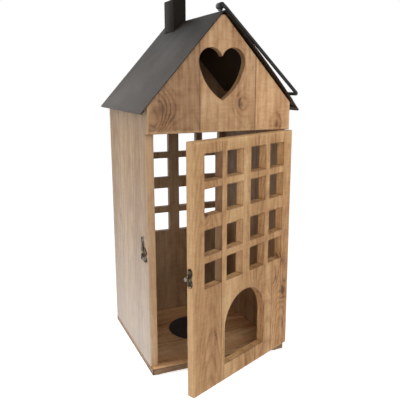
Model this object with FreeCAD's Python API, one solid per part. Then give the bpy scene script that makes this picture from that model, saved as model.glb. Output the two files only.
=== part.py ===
"""House-shaped wooden candle lantern with a folded metal roof, chimney, bail handle and hinged door.

Millimetres, +Z up, -Y the door side. The door stands open and the handle lies folded on the
right slope, as the lantern is usually shown. The whole model is centred in X and Y on its
bounding box and stands on its feet at Z = 0.
"""
import FreeCAD
import Part
import math
import os

V = FreeCAD.Vector
os.makedirs("parts", exist_ok=True)

# ---- body boards ----
BODY_W = 220.0        # over the side walls
BODY_D = 202.0        # front edge to rear edge of the side walls
BOARD = 12.0          # thickness of walls, gable, back and door
BASE_T = 8.5          # thickness of the base board
FOOT_H = 3.0
FOOT_R = 7.0
FOOT_INSET = 11.0     # foot centre from the outer face of the side wall
EASE = 1.5            # rounding of the handled board edges
SMALL_EASE = 0.8

# ---- roof ----
RIDGE_Z = 523.0       # top of the folded sheet
EAVE_Z = 387.0
EAVE_HALF = 121.3     # half width over the eaves
ROOF_FRONT = 7.0      # overhang in front of the gable
ROOF_REAR = 15.0      # overhang behind the back panel
SHEET = 1.2
HEM = 7.0             # folded-under strip along each eave
FOLD_R = 3.0          # outside radius of the ridge fold
SEAT_GAP = 0.3        # sheet to wood
TIP_HALF = 4.0        # half width of the flat on the boards' tips, clear of the fold

# ---- gable and heart ----
GABLE_Z = 358.2       # lower edge of the front gable
HEART_TOP_Z = 473.5
HEART_TIP_Z = 402.0
LOBE_R = 18.0
LOBE_X = 17.0
HEART_SPLIT = 10.0    # degrees below level where the lobe runs into the long side curve

# ---- door ----
DOOR_GAP = 0.4        # door to wall edge, gable and strike
DOOR_FOOT_GAP = 2.0   # door above the base board
DOOR_TOP_GAP = 1.3
DOOR_OPEN = 25.6      # degrees open at rest
ARCH_HALF = 46.0
ARCH_SILL = 24.5      # wood below the arch
ARCH_H = 99.5

# ---- window grid, the same in door and back ----
GRID_MARGIN = 21.5    # door edge to the first pane
THIN_BAR = 10.8       # upright bar inside a pair of panes
MID_BAR = 17.4        # upright bar between the pairs
THIN_RAIL = 10.3
MID_RAIL = 19.0
GRID_DROP = 16.4      # door top to the first row
PANE = (BODY_W - 2 * GRID_MARGIN - 2 * THIN_BAR - MID_BAR) / 4   # square panes

# ---- chimney ----
CHIMNEY_L = -14.0     # left face
CHIMNEY_R = 5.0
CHIMNEY_LONG = 43.0
CHIMNEY_BACK = 31.0   # rear face to the roof's rear edge
CHIMNEY_UP = 32.5     # above the ridge
CHIMNEY_T = 1.0
CHIMNEY_LIP = 4.0

# ---- handle ----
ROD_R = 2.5
PIVOT_UP = 5.5        # rod centre above the ridge
HANDLE_REACH = 169.0  # pivot to cross bar
HANDLE_DROP = 44.8    # degrees below level at rest
LEG_INSET = 4.5       # leg centre inside the roof's front and rear edges
TUBE_R = 4.5
TUBE_L = 20.5
ROD_CLEAR = 0.05
BEND_R = 4.0
TUBE_SET = BEND_R + 0.4   # tube mouth behind the leg centre
ROD_STUB = 19.0       # straight end inside the tube, from the leg centre

# ---- hinges ----
HINGE_H = 36.0
HINGE_ZS = (75.0, 300.0)
HINGE_OUT = 3.0       # hinge axis outside the wall face
KNUCKLE_R = 2.4
PIN_R = 1.2
PIN_CLEAR = 0.05
LEAF_T = 1.2
FRAME_LEAF_W = 14.0
DOOR_LEAF_W = 10.4
KNUCKLE_GAP = 0.4
LEAF_BACK = 3.0       # leaf cut back beside the other leaf's knuckle

# ---- screws ----
HINGE_SCREW = (2.3, 0.9, 1.2, 8.5)    # head radius, head height, shank radius, shank length
LATCH_SCREW = (1.9, 0.9, 0.9, 7.5)
SCREW_ROOM = 0.3      # pilot hole wider than the shank
BASE_HEAD_R = 3.6
BASE_HEAD_H = 2.4
BASE_SHANK_R = 1.8
BASE_GRIP = 15.0      # shank length inside the wall

# ---- latch ----
LATCH_Z = 182.0
LATCH_PLATE_W = 28.0
LATCH_PLATE_H = 24.0
LATCH_PLATE_Y = 3.0
HOOK_PIVOT_Y = 17.0
HOOK_T = 1.2
HOOK_GAP = 0.3
HOOK_UP = 97.0        # degrees the hook stands above the latched position
HOOK_W = 6.0
EYE_R = 4.0
STUD_Y = 4.0          # stud centre from the door's inner face
STUD_NECK_R = 1.5
STUD_HEAD_R = 3.0
STUD_L = 6.0
STUD_HEAD_L = 2.2
STUD_DEPTH = 5.0      # neck length behind the plate's outer face
RIVET_R = 1.3
RIVET_DEPTH = 6.0     # rivet in the wall
STRIKE_W = 9.0
STRIKE_H = 27.0

# ---- candle plate ----
PLATE_R = 40.5
PLATE_T = 1.2
PLATE_RIM = 3.0
SINK_R = 3.4          # countersunk head of the plate's screw
SINK_H = 1.8
SINK_NECK_R = 1.6
SINK_L = 6.5          # whole length of the screw

# ---- derived ----
HALF = BODY_W / 2
BASE_TOP = FOOT_H + BASE_T
FRONT = -BOARD - DOOR_GAP
SLOPE = math.atan2(RIDGE_Z - EAVE_Z, EAVE_HALF)
WOOD_DROP = (SHEET + SEAT_GAP) / math.cos(SLOPE)
ROOF_Y0 = FRONT - ROOF_FRONT
ROOF_Y1 = BODY_D + ROOF_REAR
DOOR_Z0 = BASE_TOP + DOOR_FOOT_GAP
DOOR_Z1 = GABLE_Z - DOOR_TOP_GAP
GRID_TOP = DOOR_Z1 - GRID_DROP
AXIS_X = HALF + HINGE_OUT
AXIS_Z = RIDGE_Z + PIVOT_UP
CHIMNEY_REAR = ROOF_Y1 - CHIMNEY_BACK
CHIMNEY_FRONT = CHIMNEY_REAR - CHIMNEY_LONG
LEG_Y0 = ROOF_Y0 + LEG_INSET
LEG_Y1 = ROOF_Y1 - LEG_INSET
MID_Y = (BODY_D - BOARD) / 2


def box(x0, x1, y0, y1, z0, z1):
    return Part.makeBox(x1 - x0, y1 - y0, z1 - z0, V(x0, y0, z0))


def rod(start, direction, radius, length):
    return Part.makeCylinder(radius, length, start, direction)


def prism_xz(points, y0, y1):
    ring = [V(x, y0, z) for x, z in points]
    wire = Part.makePolygon(ring + ring[:1])
    return Part.Face(wire).extrude(V(0, y1 - y0, 0))


def roof_z(x, drop=0.0):
    """Height of the sheet's outer surface at x, lowered by drop."""
    return RIDGE_Z - math.tan(SLOPE) * abs(x) - drop


def edges_where(shape, test):
    return [e for e in shape.Edges if test(e.BoundBox)]


def eased(shape, radius, test):
    return shape.makeFillet(radius, edges_where(shape, test))


def runs_along_x(b):
    return b.XLength > 0.1 and b.YLength < 0.1 and b.ZLength < 0.1


def screw(head, direction, head_r, head_h, shank_r, length):
    """Low-headed screw: the head's underside at head, the shank running along direction."""
    rise = head_h * 0.4
    top = rod(head - direction * rise, direction, head_r, rise)
    dome = Part.makeCone(head_r * 0.6, head_r, head_h - rise, head - direction * head_h, direction)
    return top.fuse([dome, rod(head, direction, shank_r, length)]).removeSplitter()


def pilot(head, direction, kind):
    """Hole for the shank of a screw of that kind, open above its head's seat."""
    length = kind[3] + SCREW_ROOM
    return rod(head - direction * length, direction, kind[2] + SCREW_ROOM, 2 * length)


def drilled(shape, spots, kind):
    for head, direction in spots:
        shape = shape.cut(pilot(head, direction, kind))
    return shape


def under_roof():
    """Everything below the sheet's outer faces."""
    points = [(EAVE_HALF, EAVE_Z), (0, RIDGE_Z), (-EAVE_HALF, EAVE_Z), (-EAVE_HALF, 0), (EAVE_HALF, 0)]
    return prism_xz(points, ROOF_Y0, ROOF_Y1)


# ---- wood ----
def base_board():
    board = box(-HALF, HALF, FRONT, BODY_D, FOOT_H, BASE_TOP)
    board = eased(board, SMALL_EASE, lambda b: b.YMax < FRONT + 0.1 and b.XLength > 1)
    for x, y in base_screw_spots():
        sink = rod(V(x, y, FOOT_H), V(0, 0, 1), BASE_HEAD_R + SCREW_ROOM, BASE_HEAD_H + 2 * SCREW_ROOM)
        board = board.cut(sink).cut(rod(V(x, y, FOOT_H), V(0, 0, 1), BASE_SHANK_R + SCREW_ROOM, BASE_T))
    return board.cut(sunk_screw(SCREW_ROOM))


def base_screw_spots():
    x = HALF - BOARD / 2
    return [(s * x, BODY_D * f) for s in (-1, 1) for f in (0.25, 0.75)]


def base_screws():
    out = []
    for x, y in base_screw_spots():
        seat = FOOT_H + SCREW_ROOM + BASE_HEAD_H
        head = rod(V(x, y, seat - BASE_HEAD_H), V(0, 0, 1), BASE_HEAD_R, BASE_HEAD_H)
        shank = rod(V(x, y, seat), V(0, 0, 1), BASE_SHANK_R, BASE_TOP + BASE_GRIP - seat)
        reach = BASE_HEAD_R * 0.7
        slot = box(x - reach, x + reach, y - 0.4, y + 0.4, FOOT_H, seat - BASE_HEAD_H * 0.6)
        out.append(head.fuse(shank).cut(slot))
    return Part.makeCompound(out)


def side_wall(side):
    x0, x1 = HALF - BOARD, HALF
    points = [(x0, BASE_TOP), (x1, BASE_TOP), (x1, roof_z(x1, WOOD_DROP)), (x0, roof_z(x0, WOOD_DROP))]
    wall = prism_xz(points, 0, BODY_D)
    if side < 0:
        wall = wall.mirror(V(0, 0, 0), V(1, 0, 0))
    wall = eased(wall, SMALL_EASE, lambda b: b.XLength < 0.1 and b.ZLength > 50 and abs(b.XMin) > HALF - 1)
    for x, y in base_screw_spots():
        if x * side > 0:
            hole = rod(V(x, y, BASE_TOP), V(0, 0, 1), BASE_SHANK_R + SCREW_ROOM, BASE_GRIP + SCREW_ROOM)
            wall = wall.cut(hole)
    return wall


def pane_xs():
    near = MID_BAR / 2
    far = near + PANE + THIN_BAR
    return [-far - PANE, -near - PANE, near, far]


def pane_tops():
    second = GRID_TOP - PANE - THIN_RAIL
    third = second - PANE - MID_RAIL
    return [GRID_TOP, second, third, third - PANE - THIN_RAIL]


def window_grid(y0, y1):
    cuts = [box(x, x + PANE, y0 - 2, y1 + 2, z - PANE, z) for x in pane_xs() for z in pane_tops()]
    return Part.makeCompound(cuts)


def back_panel():
    x1 = HALF - BOARD
    top = roof_z(x1, WOOD_DROP)
    tip = roof_z(TIP_HALF, WOOD_DROP)
    points = [(-x1, BASE_TOP), (x1, BASE_TOP), (x1, top), (TIP_HALF, tip), (-TIP_HALF, tip), (-x1, top)]
    panel = prism_xz(points, BODY_D - BOARD, BODY_D)
    return panel.cut(window_grid(BODY_D - BOARD, BODY_D))


def heart_cut():
    """Heart outline: two round lobes running into long side curves that meet at the tip."""
    lobe_z = HEART_TOP_Z - LOBE_R
    turn = -math.radians(HEART_SPLIT)
    ux, uz = math.cos(turn), math.sin(turn)
    vx, vz = LOBE_X, lobe_z - HEART_TIP_Z
    dot = vx * ux + vz * uz
    big = (vx * vx + vz * vz + 2 * LOBE_R * dot + LOBE_R ** 2) / (2 * dot + 2 * LOBE_R)
    cx, cz = LOBE_X + (LOBE_R - big) * ux, lobe_z + (LOBE_R - big) * uz
    join = (LOBE_X + LOBE_R * ux, lobe_z + LOBE_R * uz)
    mid = math.atan2((join[1] + HEART_TIP_Z) / 2 - cz, join[0] / 2 - cx)
    bow = (cx + big * math.cos(mid), cz + big * math.sin(mid))
    notch = (0.0, lobe_z + math.sqrt(LOBE_R ** 2 - LOBE_X ** 2))
    crown = (LOBE_X, HEART_TOP_Z)
    tip = (0.0, HEART_TIP_Z)

    def pt(p, side):
        return V(side * p[0], FRONT - 2, p[1])

    edges = []
    for side in (1, -1):
        edges.append(Part.Arc(pt(notch, side), pt(crown, side), pt(join, side)).toShape())
        edges.append(Part.Arc(pt(join, side), pt(bow, side), pt(tip, side)).toShape())
    wire = Part.Wire(Part.sortEdges(edges)[0])
    return Part.Face(wire).extrude(V(0, BOARD + 4, 0))


def front_gable():
    tip = roof_z(TIP_HALF, WOOD_DROP)
    side = roof_z(HALF, WOOD_DROP)
    points = [(-HALF, GABLE_Z), (HALF, GABLE_Z), (HALF, side), (TIP_HALF, tip), (-TIP_HALF, tip), (-HALF, side)]
    board = prism_xz(points, FRONT, 0)
    board = eased(board, EASE, lambda b: b.YMax < FRONT + 0.1 and (
        b.ZMax < GABLE_Z + 0.1 or (b.XLength < 0.1 and abs(b.XMin) > HALF - 0.1)))
    return board.cut(heart_cut())


# ---- door, built closed ----
def door_panel():
    panel = box(-HALF, HALF, FRONT, -DOOR_GAP, DOOR_Z0, DOOR_Z1)
    panel = panel.makeFillet(EASE, panel.Edges)
    panel = panel.cut(window_grid(FRONT, 0))
    sill = DOOR_Z0 + ARCH_SILL
    spring = sill + ARCH_H - ARCH_HALF
    arch = box(-ARCH_HALF, ARCH_HALF, FRONT - 2, 2, sill, spring)
    arch = arch.fuse(rod(V(0, FRONT - 2, spring), V(0, 1, 0), ARCH_HALF, BOARD + 4))
    panel = panel.cut(arch)
    panel = drilled(panel, door_screw_spots(), HINGE_SCREW)
    panel = drilled(panel, strike_screw_spots(), LATCH_SCREW)
    return panel.cut(rod(stud_root(), V(1, 0, 0), STUD_NECK_R + SCREW_ROOM, STUD_DEPTH + SCREW_ROOM))


def opened(shape):
    shape.rotate(V(AXIS_X, 0, 0), V(0, 0, 1), DOOR_OPEN)
    return shape


# ---- hinges ----
def knuckle_spans(z):
    """Lower frame, door and upper frame knuckles of the hinge centred at z."""
    third = (HINGE_H - 2 * KNUCKLE_GAP) / 3
    z0 = z - HINGE_H / 2
    starts = [z0, z0 + third + KNUCKLE_GAP, z0 + 2 * (third + KNUCKLE_GAP)]
    return [(s, s + third) for s in starts]


def leaf(z, y_far, spans, holes):
    """Flat leaf from the hinge line to y_far with a rolled knuckle on each of its spans."""
    side = 1 if y_far > 0 else -1
    lo, hi = sorted((side * LEAF_BACK, y_far))
    body = box(HALF, HALF + LEAF_T, lo, hi, z - HINGE_H / 2, z + HINGE_H / 2)
    for z0, z1 in spans:
        lo, hi = sorted((0.0, side * (LEAF_BACK + 1)))
        body = body.fuse(box(HALF, HALF + LEAF_T, lo, hi, z0, z1))
        body = body.fuse(rod(V(AXIS_X, 0, z0), V(0, 0, 1), KNUCKLE_R, z1 - z0))
    bore = rod(V(AXIS_X, 0, z - HINGE_H), V(0, 0, 1), PIN_R + PIN_CLEAR, 2 * HINGE_H)
    body = body.cut(bore).removeSplitter()
    return drilled(body, [s for s in holes if abs(s[0].z - z) < HINGE_H / 2], HINGE_SCREW)


def frame_screw_spots():
    y = (LEAF_BACK + FRAME_LEAF_W) / 2
    return [(V(HALF + LEAF_T, y, z + s * HINGE_H * 0.3), V(-1, 0, 0)) for z in HINGE_ZS for s in (-1, 1)]


def door_screw_spots():
    y = -(LEAF_BACK + DOOR_LEAF_W) / 2
    return [(V(HALF + LEAF_T, y, z + s * HINGE_H * 0.3), V(-1, 0, 0)) for z in HINGE_ZS for s in (-1, 1)]


def frame_leaf(z):
    lower, middle, upper = knuckle_spans(z)
    return leaf(z, FRAME_LEAF_W, (lower, upper), frame_screw_spots())


def door_leaf(z):
    lower, middle, upper = knuckle_spans(z)
    return leaf(z, -DOOR_LEAF_W, (middle,), door_screw_spots())


def hinge_pin(z):
    pin = rod(V(AXIS_X, 0, z - HINGE_H / 2), V(0, 0, 1), PIN_R, HINGE_H)
    cap = rod(V(AXIS_X, 0, z + HINGE_H / 2), V(0, 0, 1), PIN_R + 0.9, 1.2)
    return pin.fuse(cap).removeSplitter()


def screws(spots, kind):
    return Part.makeCompound([screw(head, direction, *kind) for head, direction in spots])


# ---- latch ----
def latch_plate():
    x = -HALF
    z0 = LATCH_Z - LATCH_PLATE_H / 2
    plate = box(x - LEAF_T, x, LATCH_PLATE_Y, LATCH_PLATE_Y + LATCH_PLATE_W, z0, z0 + LATCH_PLATE_H)
    plate = eased(plate, 3.0, runs_along_x)
    plate = drilled(plate, latch_screw_spots(), LATCH_SCREW)
    return plate.cut(rod(V(x - LEAF_T, HOOK_PIVOT_Y, LATCH_Z), V(1, 0, 0), RIVET_R, LEAF_T))


def latch_screw_spots():
    x = -HALF - LEAF_T
    y = LATCH_PLATE_Y + LATCH_PLATE_W / 2
    dy, dz = LATCH_PLATE_W / 2 - 4, LATCH_PLATE_H / 2 - 4
    return [(V(x, y + s * dy, LATCH_Z - dz), V(1, 0, 0)) for s in (-1, 1)]


def latch_hook():
    """Swing hook, drawn latched towards the door and then stood up to its resting place."""
    x0 = -HALF - LEAF_T - HOOK_GAP - HOOK_T
    x1 = x0 + HOOK_T
    reach = HOOK_PIVOT_Y + DOOR_GAP + STUD_Y
    y_tip = HOOK_PIVOT_Y - reach - 5.0
    arm = box(x0, x1, y_tip, HOOK_PIVOT_Y, LATCH_Z - HOOK_W * 0.4, LATCH_Z + HOOK_W * 0.6)
    arm = eased(arm, 1.0, lambda b: b.XLength > 0.1 and b.YMax < y_tip + 0.1)
    arm = arm.fuse(rod(V(x0, HOOK_PIVOT_Y, LATCH_Z), V(1, 0, 0), EYE_R, HOOK_T))
    grip = STUD_NECK_R + 0.3
    y_stud = HOOK_PIVOT_Y - reach
    slot = box(x0 - 1, x1 + 1, y_stud - grip, y_stud + grip, LATCH_Z - HOOK_W, LATCH_Z)
    slot = slot.fuse(rod(V(x0 - 1, y_stud, LATCH_Z), V(1, 0, 0), grip, HOOK_T + 2))
    eye = rod(V(x0 - 1, HOOK_PIVOT_Y, LATCH_Z), V(1, 0, 0), RIVET_R + PIN_CLEAR, HOOK_T + 2)
    arm = arm.cut(slot).cut(eye)
    arm.rotate(V(0, HOOK_PIVOT_Y, LATCH_Z), V(1, 0, 0), -HOOK_UP)
    return arm


def latch_rivet():
    x = -HALF - LEAF_T
    out = HOOK_GAP * 2 + HOOK_T
    shank = rod(V(x - out, HOOK_PIVOT_Y, LATCH_Z), V(1, 0, 0), RIVET_R, out + LEAF_T + RIVET_DEPTH)
    head = rod(V(x - out - LEAF_T, HOOK_PIVOT_Y, LATCH_Z), V(1, 0, 0), 2 * RIVET_R, LEAF_T)
    return head.fuse(shank).removeSplitter()


def stud_root():
    return V(-HALF - LEAF_T, -DOOR_GAP - STUD_Y, LATCH_Z)


def strike_screw_spots():
    y = -DOOR_GAP - BOARD / 2
    return [(V(-HALF - LEAF_T, y, LATCH_Z + s * STRIKE_H * 0.35), V(1, 0, 0)) for s in (-1, 1)]


def strike_plate():
    y = -DOOR_GAP - BOARD / 2
    z0 = LATCH_Z - STRIKE_H / 2
    plate = box(-HALF - LEAF_T, -HALF, y - STRIKE_W / 2, y + STRIKE_W / 2, z0, z0 + STRIKE_H)
    plate = eased(plate, 2.0, runs_along_x)
    plate = drilled(plate, strike_screw_spots(), LATCH_SCREW)
    return plate.cut(rod(stud_root(), V(1, 0, 0), STUD_NECK_R + PIN_CLEAR, LEAF_T))


def door_knob():
    root = stud_root()
    neck = rod(root + V(1 - STUD_L, 0, 0), V(1, 0, 0), STUD_NECK_R, STUD_L - 1 + STUD_DEPTH)
    head = rod(root + V(-STUD_L, 0, 0), V(1, 0, 0), STUD_HEAD_R, STUD_HEAD_L)
    rim = [e for e in head.Edges if e.BoundBox.XMax < root.x - STUD_L + 0.1]
    head = head.makeChamfer(0.8, rim)
    return neck.fuse(head).removeSplitter()


# ---- metal roof ----
def roof_sheet():
    drop = SHEET / math.cos(SLOPE)
    dx = SHEET * math.sin(SLOPE)
    dz = SHEET * math.cos(SLOPE)
    points = [(EAVE_HALF, EAVE_Z), (0, RIDGE_Z), (-EAVE_HALF, EAVE_Z),
              (-EAVE_HALF + dx, EAVE_Z - dz), (0, RIDGE_Z - drop), (EAVE_HALF - dx, EAVE_Z - dz)]
    sheet = prism_xz(points, ROOF_Y0, ROOF_Y1)
    for z, radius in ((RIDGE_Z, FOLD_R), (RIDGE_Z - drop, FOLD_R - SHEET)):
        sheet = eased(sheet, radius, lambda b: abs(b.ZMax - z) < 0.05 and b.YLength > 10)
    ca, sa = math.cos(SLOPE), math.sin(SLOPE)
    for side in (-1, 1):
        a = (EAVE_HALF - dx, EAVE_Z - dz)
        b = (a[0] - HEM * ca, a[1] + HEM * sa)
        hem = [a, b, (b[0] - dx, b[1] - dz), (a[0] - dx, a[1] - dz)]
        sheet = sheet.fuse(prism_xz([(side * x, z) for x, z in hem], ROOF_Y0, ROOF_Y1))
    return sheet.removeSplitter()


def chimney():
    z0 = roof_z(CHIMNEY_L) - 5
    z1 = RIDGE_Z + CHIMNEY_UP
    t = CHIMNEY_T
    tube = box(CHIMNEY_L, CHIMNEY_R, CHIMNEY_FRONT, CHIMNEY_REAR, z0, z1)
    lip = box(CHIMNEY_L - t, CHIMNEY_R + t, CHIMNEY_FRONT - t, CHIMNEY_REAR + t, z1 - CHIMNEY_LIP, z1)
    tube = tube.fuse(lip)
    tube = tube.cut(box(CHIMNEY_L + t, CHIMNEY_R - t, CHIMNEY_FRONT + t, CHIMNEY_REAR - t, z0 - 1, z1 + 1))
    return tube.cut(under_roof()).removeSplitter()


def handle_tube(y_mouth, direction):
    """Closed-ended tube welded along the ridge on a small saddle."""
    start = V(0, y_mouth, AXIS_Z)
    along = V(0, direction, 0)
    tube = rod(start, along, TUBE_R, TUBE_L)
    end = [e for e in tube.Edges if e.BoundBox.YLength < 0.1
           and abs(e.BoundBox.YMin - y_mouth) > TUBE_L - 0.1]
    tube = tube.makeChamfer(1.2, end)
    y0, y1 = sorted((y_mouth + direction * 2, y_mouth + direction * (TUBE_L - 2)))
    half = TUBE_R - 0.5
    saddle = box(-half, half, y0, y1, roof_z(half) - 1, AXIS_Z)
    tube = tube.fuse(saddle.cut(under_roof())).removeSplitter()
    return tube.cut(rod(start - along, along, ROD_R + ROD_CLEAR, ROD_STUB - TUBE_SET + 2))


def handle_bail():
    """Round rod: stub, leg, cross bar, leg, stub, with bent corners, in one slanted plane."""
    drop = math.radians(HANDLE_DROP)
    out = V(math.cos(drop), 0, -math.sin(drop))
    base = V(0, 0, AXIS_Z)
    far = base + out * HANDLE_REACH
    corners = [base + V(0, LEG_Y0 + ROD_STUB, 0), base + V(0, LEG_Y0, 0), far + V(0, LEG_Y0, 0),
               far + V(0, LEG_Y1, 0), base + V(0, LEG_Y1, 0), base + V(0, LEG_Y1 - ROD_STUB, 0)]
    pieces = []
    last = corners[0]
    for i in range(1, len(corners) - 1):
        here = corners[i]
        to_last = (corners[i - 1] - here).normalize()
        to_next = (corners[i + 1] - here).normalize()
        start = here + to_last * BEND_R
        ring = Part.Face(Part.Wire(Part.makeCircle(ROD_R, start, to_last)))
        centre = start + to_next * BEND_R
        pieces.append(rod(last, to_last * -1, ROD_R, (start - last).Length))
        pieces.append(ring.revolve(centre, to_next.cross(to_last), 90))
        last = here + to_next * BEND_R
    end = corners[-1]
    pieces.append(rod(last, (end - last).normalize(), ROD_R, (end - last).Length))
    return pieces[0].fuse(pieces[1:]).removeSplitter()


# ---- inside and below ----
def candle_plate():
    z = BASE_TOP
    dish = rod(V(0, MID_Y, z), V(0, 0, 1), PLATE_R, PLATE_RIM)
    dish = dish.cut(rod(V(0, MID_Y, z + PLATE_T), V(0, 0, 1), PLATE_R - PLATE_T, PLATE_RIM))
    return dish.cut(sunk_screw(SCREW_ROOM))


def sunk_screw(extra=0.0):
    """Countersunk screw just below the dish's top face; extra widens it into its hole."""
    top = BASE_TOP + PLATE_T - 0.1
    head = Part.makeCone(SINK_NECK_R + extra, SINK_R + extra, SINK_H, V(0, MID_Y, top - SINK_H))
    shank = rod(V(0, MID_Y, top - SINK_L - extra), V(0, 0, 1), SINK_NECK_R + extra, SINK_L - SINK_H + extra)
    body = head.fuse(shank)
    if extra:
        body = body.fuse(rod(V(0, MID_Y, top), V(0, 0, 1), SINK_R + extra, 1.0))
    return body.removeSplitter()


def feet():
    out = []
    for x in (-HALF + FOOT_INSET, HALF - FOOT_INSET):
        for y in (FRONT + FOOT_INSET, BODY_D - FOOT_INSET):
            foot = rod(V(x, y, 0), V(0, 0, 1), FOOT_R, FOOT_H)
            foot = foot.makeChamfer(0.6, [e for e in foot.Edges if e.BoundBox.ZMax < 0.1])
            out.append(foot)
    return Part.makeCompound(out)


def build():
    lower, upper = HINGE_ZS
    left = drilled(side_wall(-1), latch_screw_spots(), LATCH_SCREW)
    bore_r, bore_depth = RIVET_R + SCREW_ROOM, RIVET_DEPTH + SCREW_ROOM
    left = left.cut(rod(V(-HALF, HOOK_PIVOT_Y, LATCH_Z), V(1, 0, 0), bore_r, bore_depth))
    right = drilled(side_wall(1), frame_screw_spots(), HINGE_SCREW)
    pins = Part.makeCompound([hinge_pin(z) for z in HINGE_ZS])
    return {
        "base_board": base_board(),
        "side_wall_left": left,
        "side_wall_right": right,
        "back_panel": back_panel(),
        "front_gable": front_gable(),
        "roof_sheet": roof_sheet(),
        "chimney": chimney(),
        "handle_tube_front": handle_tube(LEG_Y0 + TUBE_SET, 1),
        "handle_tube_rear": handle_tube(LEG_Y1 - TUBE_SET, -1),
        "handle_bail": handle_bail(),
        "candle_plate": candle_plate(),
        "candle_plate_screw": sunk_screw(),
        "feet": feet(),
        "base_screws": base_screws(),
        "hinge_frame_leaf_lower": frame_leaf(lower),
        "hinge_frame_leaf_upper": frame_leaf(upper),
        "hinge_pins": pins,
        "hinge_frame_screws": screws(frame_screw_spots(), HINGE_SCREW),
        "latch_wall_plate": latch_plate(),
        "latch_plate_screws": screws(latch_screw_spots(), LATCH_SCREW),
        "latch_rivet": latch_rivet(),
        "latch_hook": latch_hook(),
        "door_panel": opened(door_panel()),
        "hinge_door_leaf_lower": opened(door_leaf(lower)),
        "hinge_door_leaf_upper": opened(door_leaf(upper)),
        "hinge_door_screws": opened(screws(door_screw_spots(), HINGE_SCREW)),
        "door_strike_plate": opened(strike_plate()),
        "door_strike_screws": opened(screws(strike_screw_spots(), LATCH_SCREW)),
        "door_knob": opened(door_knob()),
    }


nodes = build()
whole = Part.makeCompound(list(nodes.values())).BoundBox
shift = V(-(whole.XMin + whole.XMax) / 2, -(whole.YMin + whole.YMax) / 2, 0)
for name, shape in nodes.items():
    shape.translate(shift)
    shape.exportStep("parts/" + name + ".step")
    print(name, len(shape.Solids), shape.isValid(), round(shape.Volume))
print("shift", round(shift.x, 3), round(shift.y, 3))
print("box", [round(v, 2) for v in (whole.XLength, whole.YLength, whole.ZLength)])
print("hinge axis", round(AXIS_X + shift.x, 3), round(shift.y, 3))
print("handle axis", round(shift.x, 3), round(AXIS_Z, 3))
print("hook axis", round(HOOK_PIVOT_Y + shift.y, 3), round(LATCH_Z, 3))
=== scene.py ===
"""Looks of the house-shaped candle lantern: waxed timber, painted sheet roof, aged brass latch."""

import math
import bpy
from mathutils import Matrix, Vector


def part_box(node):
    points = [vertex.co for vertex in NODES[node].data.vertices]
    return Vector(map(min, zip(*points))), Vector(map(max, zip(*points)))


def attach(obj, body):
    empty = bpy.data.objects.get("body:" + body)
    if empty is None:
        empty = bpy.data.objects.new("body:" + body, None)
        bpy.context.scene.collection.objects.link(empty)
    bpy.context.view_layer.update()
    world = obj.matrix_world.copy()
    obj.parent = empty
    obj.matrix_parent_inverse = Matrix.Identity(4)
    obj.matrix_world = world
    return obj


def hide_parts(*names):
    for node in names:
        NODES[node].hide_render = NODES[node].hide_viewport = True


bl_info = {
    "name": "House lantern looks",
    "version": (1, 0, 0),
    "blender": (4, 5, 0),
    "location": "View3D > Sidebar > Lantern",
    "description": "Dresses the packed house lantern with timber, painted metal and aged brass",
    "category": "Object",
}

import bpy
from mathutils import Matrix, Vector, noise

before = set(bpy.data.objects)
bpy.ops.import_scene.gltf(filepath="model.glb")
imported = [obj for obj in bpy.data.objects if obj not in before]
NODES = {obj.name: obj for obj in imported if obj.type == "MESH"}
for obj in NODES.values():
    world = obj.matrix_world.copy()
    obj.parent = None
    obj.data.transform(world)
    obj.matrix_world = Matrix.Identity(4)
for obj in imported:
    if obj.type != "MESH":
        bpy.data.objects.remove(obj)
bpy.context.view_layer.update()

MM = 0.001
MM_PER_METRE = 1000.0
DOOR_TURN = math.radians(25.6)
HINGE_LINE = Vector((112.267, -54.982, 0.0)) * MM
DOOR_LONG = 0.113          # hinge line to the door's middle when it is shut
DOOR_ORIGIN = HINGE_LINE - Matrix.Rotation(DOOR_TURN, 3, "Z") @ Vector((DOOR_LONG, 0.0, 0.0))
MIDDLE_X = -0.733 * MM
# Front left corner of the base board, in millimetres.
LEFT_X, FRONT_Y = (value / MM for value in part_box("base_board")[0][:2])
BEVEL_SAMPLES = 4
METAL_RELIEF = 0.00012     # metres
METAL_EDGE = 0.0003        # metres


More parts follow.
